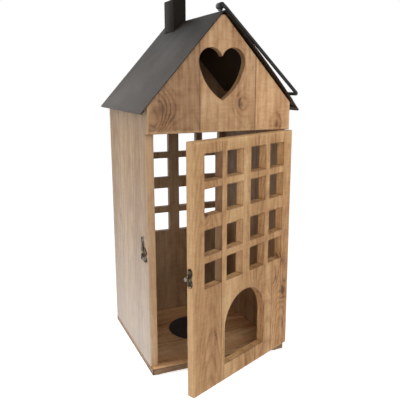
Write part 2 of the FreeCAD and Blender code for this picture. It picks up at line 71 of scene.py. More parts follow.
# ---------------------------------------------------------------- node recipes
class Recipe:
    """Writes one node material step by step."""

    def __init__(self, name):
        self.material = bpy.data.materials.new(name)
        self.material.use_nodes = True
        self.tree = self.material.node_tree
        self.tree.nodes.clear()
        self.out = self.tree.nodes.new("ShaderNodeOutputMaterial")

    def put(self, kind, **inputs):
        node = self.tree.nodes.new(kind)
        for name, value in inputs.items():
            self.feed(node.inputs[name.replace("_", " ")], value)
        return node

    def feed(self, socket, value):
        if isinstance(value, bpy.types.NodeSocket):
            self.tree.links.new(value, socket)
        elif socket.type == "RGBA" and len(value) == 3:
            socket.default_value = (*value, 1.0)
        else:
            socket.default_value = value

    def math(self, operation, *values):
        node = self.tree.nodes.new("ShaderNodeMath")
        node.operation = operation
        for socket, value in zip(node.inputs, values):
            self.feed(socket, value)
        return node.outputs[0]

    def vector(self, operation, *values):
        node = self.tree.nodes.new("ShaderNodeVectorMath")
        node.operation = operation
        for socket, value in zip(node.inputs, values):
            self.feed(socket, value)
        return node.outputs[1] if operation == "DOT_PRODUCT" else node.outputs[0]

    def blend(self, factor, a, b, kind="MIX"):
        node = self.tree.nodes.new("ShaderNodeMix")
        node.data_type = "RGBA"
        node.blend_type = kind
        self.feed(node.inputs[0], factor)
        self.feed(node.inputs[6], a)
        self.feed(node.inputs[7], b)
        return node.outputs[2]

    def span(self, value, low, high, to_low=0.0, to_high=1.0):
        node = self.put("ShaderNodeMapRange", Value=value)
        for index, number in zip((1, 2, 3, 4), (low, high, to_low, to_high)):
            node.inputs[index].default_value = number
        return node.outputs[0]

    def ramp(self, value, stops, steps=False):
        node = self.put("ShaderNodeValToRGB", Fac=value)
        ramp = node.color_ramp
        ramp.interpolation = "CONSTANT" if steps else "LINEAR"
        while len(ramp.elements) < len(stops):
            ramp.elements.new(0.5)
        for element, (place, colour) in zip(ramp.elements, stops):
            element.position = place
            element.color = (*colour, 1.0)
        return node.outputs[0]

    def noise(self, vector, sizes, detail=3.0, rough=0.5):
        """Noise whose figure has the given size along each axis of the vector."""
        spot = self.vector("DIVIDE", vector, sizes)
        return self.put("ShaderNodeTexNoise", Vector=spot, Scale=1.0, Detail=detail, Roughness=rough).outputs[0]

    def grey(self, level):
        """A colour with the same level in each channel."""
        return self.put("ShaderNodeCombineColor", Red=level, Green=level, Blue=level).outputs[0]

    def patch(self, u, w, spot):
        """Squared distance from a spot's middle, 1 at its rim; spot is (u, w, half width, half length)."""
        far = [self.math("DIVIDE", self.math("SUBTRACT", place, middle), half)
               for place, middle, half in ((u, spot[0], spot[2]), (w, spot[1], spot[3]))]
        return self.math("ADD", *(self.math("MULTIPLY", value, value) for value in far))

    def hump(self, far, steep):
        """1 in the middle of a patch, falling to 0 outside it."""
        return self.math("EXPONENT", self.math("MULTIPLY", far, -steep))

    def highest(self, values):
        """The largest of several values, or None where there are none."""
        most = None
        for value in values:
            most = value if most is None else self.math("MAXIMUM", most, value)
        return most

    def place(self, spin=(0, 0, 0), origin=(0, 0, 0)):
        """Object coordinates in millimetres, turned by spin and measured from origin."""
        turn = Matrix.Identity(3)
        for axis, angle in zip("XYZ", spin):
            turn = Matrix.Rotation(angle, 3, axis) @ turn
        start = turn @ (Vector(origin) * -MM_PER_METRE)
        coords = self.put("ShaderNodeTexCoord").outputs["Object"]
        node = self.put("ShaderNodeMapping", Vector=coords)
        node.inputs["Location"].default_value = start
        node.inputs["Rotation"].default_value = spin
        node.inputs["Scale"].default_value = (MM_PER_METRE,) * 3
        return node.outputs[0]

    def parts(self, vector):
        return self.put("ShaderNodeSeparateXYZ", Vector=vector).outputs

    def rounded(self, radius):
        """Normals that round each edge by radius, in metres."""
        bevel = self.put("ShaderNodeBevel", Radius=radius)
        bevel.samples = BEVEL_SAMPLES
        return bevel.outputs[0]

    def surface(self, colour, rough, height, relief, soft_edge=0.0, **fixed):
        """Principled surface; height is bumped by relief metres, edges rounded by soft_edge."""
        shader = self.put("ShaderNodeBsdfPrincipled")
        self.feed(shader.inputs["Base Color"], colour)
        self.feed(shader.inputs["Roughness"], rough)
        for name, value in fixed.items():
            shader.inputs[name.replace("_", " ")].default_value = value
        bump = self.put("ShaderNodeBump", Height=height, Distance=relief, Strength=1.0)
        if soft_edge:
            self.feed(bump.inputs["Normal"], self.rounded(soft_edge))
        self.feed(shader.inputs["Normal"], bump.outputs[0])
        self.feed(self.out.inputs["Surface"], shader.outputs[0])
        return self.material


# Sizes of the wood's figure across, through and along the board, in millimetres.
WANDER = (70.0, 70.0, 260.0)
RIPPLE = (14.0, 14.0, 90.0)
BROAD = (30.0, 30.0, 500.0)
STREAK = (5.0, 5.0, 130.0)
FIBRE = (0.9, 0.9, 22.0)
PORES = (0.55, 0.55, 9.0)
CROSS = (16.0, 16.0, 2.6)
MOTTLE = (11.0, 11.0, 24.0)
RING_PATCHES = (60.0, 60.0, 240.0)
WANDER_REACH = 46.0      # how far the pith seems to wander
RIPPLE_REACH = 5.0
PITH_RANGE = 200.0       # pith places and strips lie within this of the middle
SHIFT_RANGE = 400.0      # along-grain shifts lie within this
KNOT_PUSH = 1.1          # rings pushed aside by a knot, in its half widths
WAX_RELIEF = 0.00018     # metres
WOOD_EDGE = 0.0011       # metres
PAINTED_EDGE_SHADE_REACH = 0.0028      # metres
# Tint of the painted light near the foot of the side walls.
PAINTED_GLARE_TINT = (0.50, 0.49, 0.47)
# Late wood across one ring: place in the ring and darkness.
RING_PROFILE = ((0.0, 0.35), (0.3, 0.0), (0.6, 0.35), (0.82, 1.0), (1.0, 0.35))


def timber(name, tones, strips, spin=(0, 0, 0), origin=(0, 0, 0), knots=(), gap=5.0, taper=0.09, edge=None,
           shade=(), gloss=0.5, painted_edge_shade=0.0, painted_glare=None, bold=()):
    """Flat-sawn board glued from strips.

    Board coordinates: u across the board, v through it, w along the grain, in millimetres.
    strips: (left edge u, brightness, pith u, pith v, along-grain shift) of each glued strip.
    knots: (u, w, half width, half length) of each knot.
    gap, taper: distance between growth rings, and how far a ring leans for each millimetre along the grain.
    edge: (u0, u1, w0, w1) of the outline whose arrises get a painted highlight, as if the eased edges caught the
    light.
    shade: each (axis, from, to, factor) is painted shade that darkens the board towards one face, in object
    millimetres.
    painted_edge_shade: strength of the painted shade, a dark line along the arrises and in the inner corners.
    painted_glare: (from, to, strength) of painted light, a pale glow standing in for light thrown up by the bright
    floor, that grows towards the foot, on the face at x = to.
    bold: (u, w, half width, half length) of each patch where the rings stand out.
    """
    make = Recipe(name)
    board = make.place(spin, origin)
    u, v, w = make.parts(board)[:3]

    # Distance from each strip's pith, bent by wander, ripple and knots.
    along = make.span(u, -PITH_RANGE, PITH_RANGE)
    places = [min(max((strip[0] + PITH_RANGE) / (2 * PITH_RANGE), 0.0), 1.0) for strip in strips]
    light = make.ramp(along, [(place, (strip[1] / 2,) * 3) for place, strip in zip(places, strips)], steps=True)
    pith = make.ramp(along, [(place, tuple((strip[2 + k] + half) / (2 * half)
                                           for k, half in enumerate((PITH_RANGE, PITH_RANGE, SHIFT_RANGE))))
                             for place, strip in zip(places, strips)], steps=True)
    pith_u, pith_v, shift = (make.math("MULTIPLY_ADD", part, 2 * half, -half)
                             for part, half in zip(make.parts(pith)[:3], (PITH_RANGE, PITH_RANGE, SHIFT_RANGE)))
    wander = make.math("SUBTRACT", make.noise(board, WANDER, 2.0), 0.5)
    du = make.math("ADD", make.math("SUBTRACT", u, pith_u), make.math("MULTIPLY", wander, WANDER_REACH))
    dv = make.math("SUBTRACT", v, pith_v)
    radius = make.math("SQRT", make.math("ADD", make.math("MULTIPLY", du, du), make.math("MULTIPLY", dv, dv)))
    radius = make.math("MULTIPLY_ADD", make.math("ADD", w, shift), taper, radius)
    radius = make.math("MULTIPLY_ADD", make.noise(board, RIPPLE), RIPPLE_REACH, radius)
    distances = [make.patch(u, w, knot) for knot in knots]
    swirls = [make.hump(far, 1.0) for far in distances]
    for knot, near in zip(knots, swirls):
        radius = make.math("MULTIPLY_ADD", near, KNOT_PUSH * knot[2], radius)
    heart = make.highest([make.hump(far, 30.0) for far in distances])
    swirl = make.highest(swirls)
    turn = make.math("FRACT", make.math("DIVIDE", radius, gap))
    ring = make.ramp(turn, [(place, (level,) * 3) for place, level in RING_PROFILE])

    # How dark the wood is: rings, broad bands, streaks, fibre, cross figure and mottle.
    streak = make.noise(board, STREAK, 4.0, 0.6)
    fibre = make.noise(board, FIBRE, 3.0, 0.65)
    mottle = make.noise(board, MOTTLE, 3.0, 0.6)
    strength = make.span(make.noise(board, RING_PATCHES, 1.0), 0.35, 0.65, 0.25, 1.0)
    if knots:
        strength = make.math("MAXIMUM", strength, make.math("MULTIPLY", swirl, 1.7))
    for spot in bold:
        near = make.math("MULTIPLY", make.hump(make.patch(u, w, spot), 1.0), 1.5)
        strength = make.math("MAXIMUM", strength, near)
    mix = make.math("MULTIPLY", make.math("MULTIPLY", ring, strength), 0.26)
    mix = make.math("ADD", mix, make.span(make.noise(board, BROAD, 2.0), 0.32, 0.68, -0.06, 0.34))
    for figure, low, high in ((streak, -0.02, 0.32), (fibre, -0.02, 0.16),
                              (make.noise(board, CROSS, 2.0, 0.6), -0.07, 0.07), (mottle, -0.10, 0.12)):
        mix = make.math("ADD", mix, make.span(figure, 0.3, 0.7, low, high))
    if knots:
        mix = make.math("MULTIPLY_ADD", swirl, 0.16, mix)

    # Colour of the wood, then pores, seams, painted highlight on the arrises, painted light towards the foot, painted
    # shade along the edges, painted shade towards some faces, and knot hearts.
    pale, honey, dark, deep = tones
    colour = make.ramp(mix, [(0.05, pale), (0.45, honey), (0.85, dark), (1.0, deep)])
    colour = make.blend(1.0, colour, make.grey(make.math("MULTIPLY", light, 2.0)), "MULTIPLY")
    pore = make.span(make.noise(board, PORES, 1.0), 0.66, 0.74)
    colour = make.blend(make.math("MULTIPLY", pore, 0.35), colour, deep)
    seams = [make.span(make.math("ABSOLUTE", make.math("SUBTRACT", u, strip[0])), 0.2, 1.1, 0.7, 0.0)
             for strip in strips[1:]]
    colour = make.blend(make.highest(seams), colour, deep)
    # Painted highlight: the arrises of the outline are paler, as if the eased edges caught the light.
    if edge:
        inside = [make.math("MINIMUM", make.math("SUBTRACT", place, low), make.math("SUBTRACT", high, place))
                  for place, low, high in ((u, *edge[:2]), (w, *edge[2:]))]
        uneven = make.math("MULTIPLY", make.math("SUBTRACT", mottle, 0.5), 5.0)
        wear_and_sheen = make.math("ADD", make.math("MINIMUM", *inside), uneven)
        colour = make.blend(make.span(wear_and_sheen, 1.2, 4.2, 0.35, 0.0), colour, [min(c * 1.12, 1.0) for c in pale])
    # Painted light: a pale glow that grows towards the foot, standing in for light thrown up by the bright floor.
    if painted_glare:
        start, end, most = painted_glare
        foot = make.span(make.math("MULTIPLY_ADD", mottle, 90.0, w), 375.0, 85.0, 0.0, most)
        foot = make.math("MULTIPLY", foot, make.span(make.parts(make.place())[0], start, end))
        colour = make.blend(foot, colour, PAINTED_GLARE_TINT)
    # Painted shade: a dark line along every arris and inner corner of the board.
    if painted_edge_shade:
        true = make.put("ShaderNodeNewGeometry").outputs["True Normal"]
        fold = make.span(make.vector("DOT_PRODUCT", make.rounded(PAINTED_EDGE_SHADE_REACH), true), 0.74, 0.985, 1.0, 0.0)
        fold = make.math("MULTIPLY", fold, make.span(mottle, 0.3, 0.6, 0.4 * painted_edge_shade, painted_edge_shade))
        colour = make.blend(fold, colour, deep)
    # Painted shade towards the listed faces.
    for axis, start, end, factor in shade:
        level = make.span(make.parts(make.place())[axis], start, end, 1.0, factor)
        colour = make.blend(1.0, colour, make.grey(level), "MULTIPLY")
    if knots:
        colour = make.blend(make.math("MULTIPLY", heart, 0.75), colour, deep)
    height = make.math("SUBTRACT", make.math("MULTIPLY", fibre, 0.5), make.math("MULTIPLY", pore, 0.7))
    height = make.math("MULTIPLY_ADD", ring, -0.25, height)
    rough = make.span(streak, 0.25, 0.75, 0.50, 0.66)
    return make.surface(colour, rough, height, WAX_RELIEF, WOOD_EDGE, IOR=1.45, Specular_IOR_Level=gloss)


def painted_sheet(name, base, bloom, rough, gloss, ridge_darkening=None):
    """Oven-painted thin sheet: cloudy bloom, fine scratches and slight oil-canning.

    ridge_darkening: (from, to, strength) of the darkening between two heights, in millimetres.
    """
    make = Recipe(name)
    place = make.place()
    cloud = make.noise(place, (55.0, 70.0, 55.0), 4.0, 0.6)
    speck = make.noise(place, (1.6,) * 3, 2.0)
    scratch = make.noise(place, (0.7, 26.0, 9.0), 2.0)
    colour = make.blend(make.span(cloud, 0.3, 0.7), base, bloom)
    colour = make.blend(make.math("MULTIPLY", make.span(scratch, 0.7, 0.8), 0.25), colour, [c * 2.2 for c in bloom])
    # Darker up high, between two heights, with a cloudy edge.
    if ridge_darkening:
        start, end, most = ridge_darkening
        height = make.math("MULTIPLY_ADD", cloud, 30.0, make.parts(place)[2])
        colour = make.blend(make.span(height, start, end, 0.0, most), colour, [c * 0.3 for c in base])
    shine = make.math("ADD", make.span(cloud, 0.25, 0.75, rough - 0.06, rough + 0.06),
                      make.span(speck, 0.3, 0.7, -0.04, 0.04))
    dents = make.noise(place, (48.0, 60.0, 48.0), 1.0)
    height = make.math("MULTIPLY_ADD", speck, 0.005, dents)
    return make.surface(colour, shine, height, 0.0007, 0.0004, IOR=1.5, Specular_IOR_Level=gloss)


def black_iron(name, base, rough):
    """Blackened forged rod and plate: fine pitting, rubbed brighter in patches."""
    make = Recipe(name)
    place = make.place()
    patch = make.noise(place, (14.0,) * 3, 4.0, 0.6)
    pit = make.noise(place, (0.9,) * 3)
    colour = make.blend(make.span(patch, 0.42, 0.7), base, [c * 1.9 + 0.004 for c in base])
    shine = make.span(patch, 0.3, 0.7, rough + 0.06, rough - 0.08)
    return make.surface(colour, shine, pit, METAL_RELIEF, METAL_EDGE, IOR=1.5, Specular_IOR_Level=0.28)


def aged_brass(name):
    """Brass gone brown-black in its hollows, with rubbed warm high spots."""
    make = Recipe(name)
    place = make.place()
    patch = make.noise(place, (5.0,) * 3, 5.0, 0.65)
    pit = make.noise(place, (0.7,) * 3)
    wear_and_sheen = make.span(patch, 0.48, 0.64)
    colour = make.blend(wear_and_sheen, (0.030, 0.022, 0.014), (0.24, 0.17, 0.09))
    shine = make.math("SUBTRACT", 0.58, make.math("MULTIPLY", wear_and_sheen, 0.24))
    return make.surface(colour, shine, pit, METAL_RELIEF, METAL_EDGE, Metallic=0.85)


def plated_steel(name, base):
    """Plated steel with small dull spots and a fine surface."""
    make = Recipe(name)
    place = make.place()
    spot = make.noise(place, (2.2,) * 3, 4.0)
    fine = make.noise(place, (0.25,) * 3, 2.0)
    colour = make.blend(make.span(spot, 0.45, 0.75), base, [c * 0.5 for c in base])
    return make.surface(colour, make.span(spot, 0.3, 0.7, 0.22, 0.42), fine, 0.00004, METAL_EDGE, Metallic=1.0)


def felt(name):
    """Pressed dark felt of the foot pads."""
    make = Recipe(name)
    place = make.place()
    fuzz = make.noise(place, (0.5,) * 3, 4.0, 0.75)
    clump = make.noise(place, (3.0,) * 3, 2.0)
    colour = make.blend(make.math("MULTIPLY", fuzz, clump), (0.020, 0.016, 0.012), (0.085, 0.066, 0.050))
    return make.surface(colour, make.span(fuzz, 0.3, 0.7, 0.88, 1.0), fuzz, 0.0004, Sheen_Weight=0.25)


def paint(material, *names):
    """Gives each named CAD node that one material."""
    for name in names:
        mesh = NODES[name].data
        mesh.materials.clear()
        mesh.materials.append(material)


# ---------------------------------------------------------------- mesh making
SHARP_ANGLE = math.radians(38)
EASED_ANGLE = math.radians(35)


def solid(name, points, faces, material, body, slot, replaces=(), bevel=0.0):
    """One mesh piece of the lantern, in metres, riding on a body."""
    mesh = bpy.data.meshes.new(name)
    mesh.from_pydata([tuple(p) for p in points], [], faces)
    mesh.validate()
    mesh.materials.append(material)
    piece = bpy.data.objects.new(name, mesh)
    bpy.context.scene.collection.objects.link(piece)
    if bevel:
        cut = piece.modifiers.new("eased", "BEVEL")
        cut.width, cut.segments, cut.angle_limit = bevel, 2, EASED_ANGLE
        bpy.context.view_layer.update()
        mesh = bpy.data.meshes.new_from_object(piece.evaluated_get(bpy.context.evaluated_depsgraph_get()))
        piece.modifiers.clear()
        piece.data = mesh
    mesh.polygons.foreach_set("use_smooth", [True] * len(mesh.polygons))
    mesh.set_sharp_from_angle(angle=SHARP_ANGLE)
    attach(piece, body)
    if replaces:
        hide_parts(*replaces)


def loft(rings, loop=False):
    """Points and faces through rings of equal length; loop joins the last ring to the first."""
    count = len(rings[0])
    points = [p for ring in rings for p in ring]
    faces = []
    last = len(rings) if loop else len(rings) - 1
    for r in range(last):
        a, b = r * count, (r + 1) % len(rings) * count
        for i in range(count):
            j = (i + 1) % count
            faces.append((a + i, a + j, b + j, b + i))
    if not loop:
        faces.append(tuple(reversed(range(count))))
        faces.append(tuple(range((len(rings) - 1) * count, len(rings) * count)))
    return points, faces


def turned(profile, centre, axis, sides=40, wobble=0.0):
    """Rings of a turned piece: profile is (distance along the axis, radius)."""
    axis = Vector(axis).normalized()
    across = axis.orthogonal().normalized()
    over = axis.cross(across)
    rings = []
    for along, radius in profile:
        ring = []
        for i in range(sides):
            angle = 2 * math.pi * i / sides
            out = across * math.cos(angle) + over * math.sin(angle)
            r = radius * (1 + wobble * noise.noise(out * 1.7 + axis * along * 40))
            ring.append(Vector(centre) + axis * along + out * r)
        rings.append(ring)
    return rings


def bead(path, radius, seed, sides=10):
    """Rings of an uneven weld bead along a path of points."""
    rings = []
    for i, here in enumerate(path):
        ahead = (path[min(i + 1, len(path) - 1)] - path[max(i - 1, 0)]).normalized()
        across = ahead.cross(Vector((0.31, 0.17, 0.93))).normalized()
        over = ahead.cross(across)
        r = radius * (1 + 0.35 * noise.noise(here * 420 + Vector((seed, 0, 0))))
        rings.append([here + (across * math.cos(a) + over * math.sin(a)) * r
                      for a in (2 * math.pi * k / sides for k in range(sides))])
    return rings


def joined(parts):
    """Several (points, faces) as one."""
    points, faces = [], []
    for more, links in parts:
        base = len(points)
        points += more
        faces += [tuple(i + base for i in face) for face in links]
    return points, faces


# ---------------------------------------------------------------- settings
def tone(name, description, default):
    return bpy.props.FloatVectorProperty(name=name, description=description, subtype="COLOR", size=3,
                                         min=0.0, max=1.0, default=default)


def number(name, description, default, unit="NONE", low=0.0, high=1000.0):
    return bpy.props.FloatProperty(name=name, description=description, default=default, unit=unit,
                                   min=low, max=high)


class LanternTimber(bpy.types.PropertyGroup):
    """Tones and figure of the wood."""
    pale: tone("Pale wood", "Lightest early wood", (0.68, 0.45, 0.25))
    honey: tone("Honey wood", "Body colour of the boards", (0.50, 0.285, 0.135))
    dark: tone("Late wood", "Darker late-wood lines", (0.300, 0.140, 0.056))
    deep: tone("Knot heart", "Darkest knots and pores", (0.100, 0.044, 0.018))
    grey: tone("Side wall wood", "Body colour of the paler side walls", (0.38, 0.237, 0.120))
    ring_gap: number("Ring gap", "Distance between growth rings, in millimetres", 5.0, low=1.0, high=30.0)


class LanternMetal(bpy.types.PropertyGroup):
    """Colours of the metal pieces."""
    sheet: tone("Roof paint", "Brown-black paint of the roof", (0.034, 0.023, 0.014))
    bloom: tone("Roof bloom", "Paler clouds in the roof paint", (0.053, 0.036, 0.024))
    iron: tone("Blackened iron", "Handle, tubes and hinges", (0.010, 0.010, 0.009))
    roof_rough: number("Roof roughness", "Roughness of the roof paint", 0.5, high=1.0)
    iron_rough: number("Iron roughness", "Roughness of the iron", 0.42, high=1.0)


class LanternStage(bpy.types.PropertyGroup):
    """Camera and studio light."""
    lens: number("Lens", "Focal length in millimetres on a 36 mm sensor", 49.238)
    eye: bpy.props.FloatVectorProperty(name="Camera", description="Camera position", subtype="TRANSLATION",
                                       unit="LENGTH", size=3, default=(-0.32624, -0.77283, 0.43018))
    key: number("Front softbox", "Power of the front softbox", 33.0, unit="POWER")
    side: number("Side softbox", "Power of the left softbox", 2.6, unit="POWER")
    back: number("Back softbox", "Power of the softbox behind", 4.0, unit="POWER")
    wash: number("Floor wash", "Power of the light on the floor beside the left wall", 1.2, unit="POWER")
    sky: number("Room light", "Strength of the even light round the object", 0.36, high=5.0)


# ---------------------------------------------------------------- pieces
class Piece(bpy.types.Operator):
    """Base of the lantern's operators: runs make() and reports."""
    bl_options = {"REGISTER", "UNDO"}

    def execute(self, context):
        scene = context.scene
        self.make(scene.lantern_timber, scene.lantern_metal, scene.lantern_stage)
        return {"FINISHED"}


def tones_of(wood, lift=1.0):
    return [tuple(min(c * lift, 1.0) for c in colour) for colour in (wood.pale, wood.honey, wood.dark, wood.deep)]


class LANTERN_OT_gable(Piece):
    """Front gable: vertical grain with a knot at its lower left, heart cut-out."""
    bl_idname = "lantern.gable"
    bl_label = "Front gable"

    def make(self, wood, metal, stage):
        strips = [(-200, 0.66, -70, -34, 30), (-34, 0.90, 10, -60, 120), (52, 1.10, 90, -40, -80)]
        knots = [(-90, 391, 30, 32), (-100, 368, 14, 16), (30, 396, 14, 20), (88, 366, 12, 22)]
        skin = timber("gable_timber", tones_of(wood), strips, origin=(MIDDLE_X, -0.0610, 0), knots=knots,
                      gap=wood.ring_gap * 1.2, edge=(-110, 110, 358.2, 700), painted_edge_shade=0.6)
        paint(skin, "front_gable")


class LANTERN_OT_door(Piece):
    """Door: window grid and arch in boards glued side by side."""
    bl_idname = "lantern.door"
    bl_label = "Door panel"

    def make(self, wood, metal, stage):
        strips = [(-200, 0.88, -78, -26, 0), (-54, 0.94, -20, -60, 90), (26, 1.0, 60, -70, 30),
                  (66, 1.10, 100, -30, -60)]
        knots = [(77, 132, 15, 26), (90, 158, 11, 16), (96, 104, 13, 20), (-84, 262, 10, 18), (60, 330, 12, 14)]
        tones = [(r * 0.99, g * 0.96, b * 0.86) for r, g, b in tones_of(wood, 1.04)]
        skin = timber("door_timber", tones, strips, spin=(0, 0, -DOOR_TURN), origin=DOOR_ORIGIN,
                      knots=knots, gap=wood.ring_gap * 1.1, taper=0.16, edge=(-110, 110, 13.5, 356.9), painted_edge_shade=1.0,
                      bold=[(-72, 70, 26, 62), (70, 40, 22, 60), (20, 340, 40, 12)])
        paint(skin, "door_panel")


class LANTERN_OT_walls(Piece):
    """Side walls: paler, straighter grain."""
    bl_idname = "lantern.walls"
    bl_label = "Side walls"

    def make(self, wood, metal, stage):
        tones = tones_of(wood)
        tones[0] = tuple(c * 0.8 for c in tones[0])
        tones[1] = tuple(wood.grey)
        for side, name in ((-1, "side_wall_left"), (1, "side_wall_right")):
            strips = [(-200, 0.98, -60, -50, 0), (-38, 1.04, 20, -80, 100), (34, 0.95, 70, -44, -50)]
            # The outer face of each wall gets painted light, a pale glow towards its foot.
            skin = timber(name + "_timber", tones, strips, spin=(0, 0, math.pi / 2), origin=(side * 0.11, 0.046, 0),
                          knots=[(50 * side, 210, 9, 16)], gap=wood.ring_gap, edge=(-108, 102, -50, 700), gloss=0.8,
                          painted_glare=(side * 108.0, side * 109.5, 0.46))
            paint(skin, name)


class LANTERN_OT_back(Piece):
    """Back panel: the same window grid, plain boards."""
    bl_idname = "lantern.back"
    bl_label = "Back panel"

    def make(self, wood, metal, stage):
        # Painted shade: darker strips and tones, and darker still towards the inner face, for the shade inside the
        # house.
        strips = [(-200, 0.74, -80, -40, 0), (-44, 0.80, 0, -60, 60), (44, 0.72, 60, -50, -70)]
        skin = timber("back_timber", tones_of(wood, 0.95), strips, origin=(MIDDLE_X, 0.141, 0),
                      knots=[(-60, 110, 10, 18), (30, 430, 9, 15)], gap=wood.ring_gap * 1.1,
                      shade=[(1, 139.0, 136.0, 0.66)], painted_edge_shade=0.5)
        paint(skin, "back_panel")


class LANTERN_OT_base(Piece):
    """Base board: grain from side to side."""
    bl_idname = "lantern.base"
    bl_label = "Base board"

    def make(self, wood, metal, stage):
        # Painted light: the strips are lighter, for light on the floor inside; painted shade darkens the front and
        # left faces.
        strips = [(-200, 1.2, -60, -40, 0), (-10, 1.12, 30, -60, 80)]
        skin = timber("base_timber", tones_of(wood, 0.98), strips, spin=(0, math.pi / 2, math.pi / 2),
                      origin=(0, 0, 0.007), knots=[(60, 40, 8, 14)], gap=wood.ring_gap,
                      shade=[(1, FRONT_Y + 3.0, FRONT_Y + 0.8, 0.36), (0, LEFT_X + 3.0, LEFT_X + 0.8, 0.45)], painted_edge_shade=0.5)
        paint(skin, "base_board")


# Folded sheet, in metres.
RIDGE = 0.523
EAVE = 0.387
EAVE_OUT = 0.1213
SHEET = 0.0012
FOLD = 0.003             # outside radius of the ridge fold
HEM = 0.007
HEM_ALONG = {1: 0.98, -1: 0.9996}    # how far each hem's inner corner lies along the hem
FALL = RIDGE - EAVE
SLOPE = math.atan2(FALL, EAVE_OUT)
SLOPE_LONG = math.hypot(FALL, EAVE_OUT)
BOW = 0.0034             # most that the right slope bows
BOW_DEPTH = 0.11         # how quickly the bow fades behind the front edge
WAVE = 0.00035
EAVE_CALM = 0.02         # strip along each eave where bow and wave die out
SLOPE_STEPS, DEPTH_STEPS, FOLD_STEPS = 26, 30, 8


def roof_height(x):
    """Height of the slopes' upper face, without fold and bow."""
    return RIDGE - FALL / EAVE_OUT * abs(x - MIDDLE_X)


def roof_lift(side, along, behind, y):
    """Bow and wave of a slope, at a distance down it and behind the front edge."""
    lift = WAVE * noise.noise(Vector((along * 14 * side, y * 11, 3.0)))
    if side > 0:
        lift += BOW * math.sin(math.pi * min(along / SLOPE_LONG, 1.0)) ** 0.8 * math.exp(-behind / BOW_DEPTH)
    return lift * min(1.0, (SLOPE_LONG - along) / EAVE_CALM)


def roof_mesh():
    """Sheet folded over the ridge with a hem under each eave, a little wavy, bowed at the right slope's front."""
    low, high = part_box("roof_sheet")
    start = FOLD * math.tan(SLOPE)
    fold_middle = RIDGE - FOLD / math.cos(SLOPE)
    rings = []
    for row in range(DEPTH_STEPS + 1):
        y = low.y + (high.y - low.y) * row / DEPTH_STEPS
        outer, inner, hems = {}, {}, {}
        for side in (-1, 1):
            down = Vector((side * math.cos(SLOPE), 0, -math.sin(SLOPE)))
            out = Vector((side * math.sin(SLOPE), 0, math.cos(SLOPE)))
            outer[side], inner[side] = [], []
            for i in range(SLOPE_STEPS + 1):
                along = start + (SLOPE_LONG - start) * i / SLOPE_STEPS
                lift = roof_lift(side, along, y - low.y, y)
                for line, above in ((outer, lift), (inner, lift - SHEET)):
                    line[side].append(Vector((MIDDLE_X, y, RIDGE)) + down * along + out * above)
            tip, back, thick = inner[side].pop(), -down * HEM, -out * SHEET
            corner = tip + back * HEM_ALONG[side] + thick * (1 - HEM_ALONG[side])
            hems[side] = [tip + thick, tip + thick + back, corner]
        crown, under = [], []
        for i in range(1, FOLD_STEPS):
            angle = -SLOPE + 2 * SLOPE * i / FOLD_STEPS
            for radius, line in ((FOLD, crown), (FOLD - SHEET, under)):
                line.append(Vector((MIDDLE_X + math.sin(angle) * radius, y, fold_middle + math.cos(angle) * radius)))
        rings.append(outer[-1][::-1] + crown + outer[1] + hems[1] + inner[1][::-1] + under[::-1]
                     + inner[-1] + hems[-1][::-1])
    return loft(rings)


def chimney_ring(inset):
    """Corner and ridge points of the chimney's wall in plan."""
    low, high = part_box("chimney")
    x0, x1, y0, y1 = low.x + inset, high.x - inset, low.y + inset, high.y - inset
    return [(x0, y0), (MIDDLE_X, y0), (x1, y0), (x1, y1), (MIDDLE_X, y1), (x0, y1)]


def chimney_mesh():
    """Straight rectangular tube, open at the top, cut to the two slopes at its foot."""
    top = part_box("chimney")[1].z
    outer = [Vector((x, y, roof_height(x))) for x, y in chimney_ring(0)]
    inner = [Vector((x, y, roof_height(x))) for x, y in chimney_ring(0.001)]
    return loft([outer, [Vector((p.x, p.y, top)) for p in outer], [Vector((p.x, p.y, top)) for p in inner], inner],
                loop=True)


def chimney_weld():
    """Thin weld where the chimney meets the roof."""
    corners = [Vector((x, y, roof_height(x) + 0.0002)) for x, y in chimney_ring(-0.0002)]
    path = []
    for i, here in enumerate(corners):
        after = corners[(i + 1) % len(corners)]
        count = max(2, round((after - here).length / 0.0015))
        path += [here.lerp(after, k / count) for k in range(count)]
    return loft(bead(path + path[:1], 0.0008, 2.0))


class LANTERN_OT_roof(Piece):
    """Folded sheet roof and its chimney."""
    bl_idname = "lantern.roof"
    bl_label = "Roof and chimney"

    def make(self, wood, metal, stage):
        skin = painted_sheet("roof_paint", metal.sheet, metal.bloom, metal.roof_rough, 0.15, ridge_darkening=(465, 520, 0.9))
        solid("folded_roof", *roof_mesh(), skin, "house", "roof_metal", ["roof_sheet"])
        black = painted_sheet("chimney_paint", [c * 0.2 for c in metal.sheet], [c * 0.22 for c in metal.bloom],
                              0.62, 0.08)
        solid("chimney_stack", *chimney_mesh(), black, "house", "roof_metal", ["chimney"], bevel=0.0006)
        solid("chimney_weld", *chimney_weld(), black, "house", "roof_metal")


# Ridge tubes, in metres: height of their axis and of the weld below, and (distance from the mouth, radius).
TUBE_HEIGHT = 0.5285
TUBE_WELD_HEIGHT = 0.5236
TUBE_PROFILE = ((0.0, 0.0026), (0.0, 0.0043), (0.0003, 0.0045), (0.0117, 0.0045), (0.012, 0.0043), (0.012, 0.0026))


